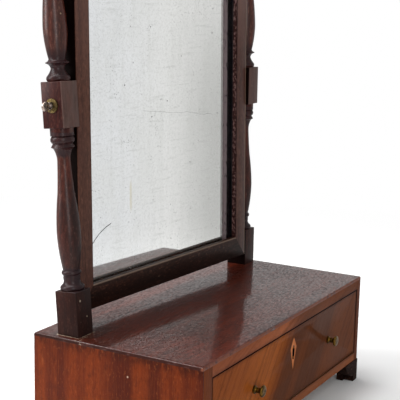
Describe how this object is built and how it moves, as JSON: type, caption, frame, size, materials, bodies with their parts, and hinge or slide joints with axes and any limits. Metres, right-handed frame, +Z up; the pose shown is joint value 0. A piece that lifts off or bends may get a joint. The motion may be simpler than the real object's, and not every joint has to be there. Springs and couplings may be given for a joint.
{
  "type": "vanity mirror with drawer",
  "caption": "Dressing-table mirror: a swinging glass in a plain dark frame between turned posts, on a veneered one-drawer box with bracket feet",
  "frame": {"origin": "on the ground, at the middle of the bounding box: the front of the knobs and the back of the left finial are equally far away, and so are the two swing screws", "axes": "+X to the right as one faces the drawer, +Y to the back, +Z up"},
  "size_m": [0.4462, 0.2369, 0.6154],
  "materials": {
    "dark_turned_wood": "old wax polish",
    "foot_wood": "near-black worn stain",
    "side_veneer": "satin polish",
    "top_veneer": "old french polish",
    "face_veneer": "polished",
    "drawer_veneer": "figured veneer, glossy polish",
    "inlay_wood": "polished boxwood",
    "carcass_pine": "raw pine, darkened",
    "drawer_lining": "raw, worn smooth",
    "key_slip": "raw",
    "brass": "dull, tarnished",
    "iron": "dark, rusty",
    "old_glass": "clear, faintly green",
    "silvering": "foxed old silver"
  },
  "bodies": {
    "base": {"post_left": "dark_turned_wood", "post_right": "dark_turned_wood", "foot_front_left_cross": "foot_wood", "foot_front_left_side": "foot_wood", "foot_front_right_cross": "foot_wood", "foot_front_right_side": "foot_wood", "foot_back_left_cross": "foot_wood", "foot_back_left_side": "foot_wood", "foot_back_right_cross": "foot_wood", "foot_back_right_side": "foot_wood", "side_veneer_left": "side_veneer", "side_veneer_right": "side_veneer", "base_top": "top_veneer", "front_stile_left": "face_veneer", "front_stile_right": "face_veneer", "front_rail_top": "face_veneer", "front_rail_bottom": "face_veneer", "base_subtop": "carcass_pine", "side_core_left": "carcass_pine", "side_core_right": "carcass_pine", "back_board": "carcass_pine", "dust_board": "carcass_pine", "drawer_runner_left": "carcass_pine", "drawer_runner_right": "carcass_pine", "drawer_kicker_left": "carcass_pine", "drawer_kicker_right": "carcass_pine", "drawer_guide_left": "carcass_pine", "drawer_stops": "carcass_pine", "foot_glue_blocks": "carcass_pine", "rose_left": "brass", "rose_right": "brass"},
    "mirror": {"frame_stile_left": "dark_turned_wood", "frame_stile_right": "dark_turned_wood", "frame_rail_bottom": "dark_turned_wood", "frame_rail_top": "dark_turned_wood", "frame_corner_keys": "key_slip", "mirror_glass": "old_glass", "mirror_silvering": "silvering", "backboard": "carcass_pine", "backboard_sprigs": "iron", "nut_plate_left": "iron", "nut_plate_right": "iron"},
    "drawer": {"drawer_front": "drawer_veneer", "drawer_side_left": "drawer_lining", "drawer_side_right": "drawer_lining", "drawer_back": "drawer_lining", "drawer_bottom": "drawer_lining", "keyhole_inlay": "inlay_wood", "lock_case": "brass", "knob_left": "brass", "knob_right": "brass", "knob_nuts": "brass"},
    "screw_left": {"swing_screw_left": "brass"},
    "screw_right": {"swing_screw_right": "brass"},
    "lock_bolt": {"lock_bolt": "brass"}
  },
  "joints": [
    {"name": "mirror_swing", "type": "hinge", "parent": "base", "child": "mirror", "pos_m": [0.00001, 0.0809, 0.40019], "axis": [0.9979, -0.0645, 0], "continuous": true},
    {"name": "drawer_slide", "type": "slide", "parent": "base", "child": "drawer", "axis": [0, -1, 0], "range_m": [0, 0.15]},
    {"name": "lock_bolt_slide", "type": "slide", "parent": "drawer", "child": "lock_bolt", "axis": [0, 0, 1], "range_m": [0, 0.005]},
    {"name": "screw_left_turn", "type": "hinge", "parent": "mirror", "child": "screw_left", "pos_m": [0.00001, 0.0809, 0.40019], "axis": [0.9979, -0.0645, 0], "range_deg": [-180, 180]},
    {"name": "screw_right_turn", "type": "hinge", "parent": "mirror", "child": "screw_right", "pos_m": [0.00001, 0.0809, 0.40019], "axis": [0.9979, -0.0645, 0], "range_deg": [-180, 180]}
  ]
}
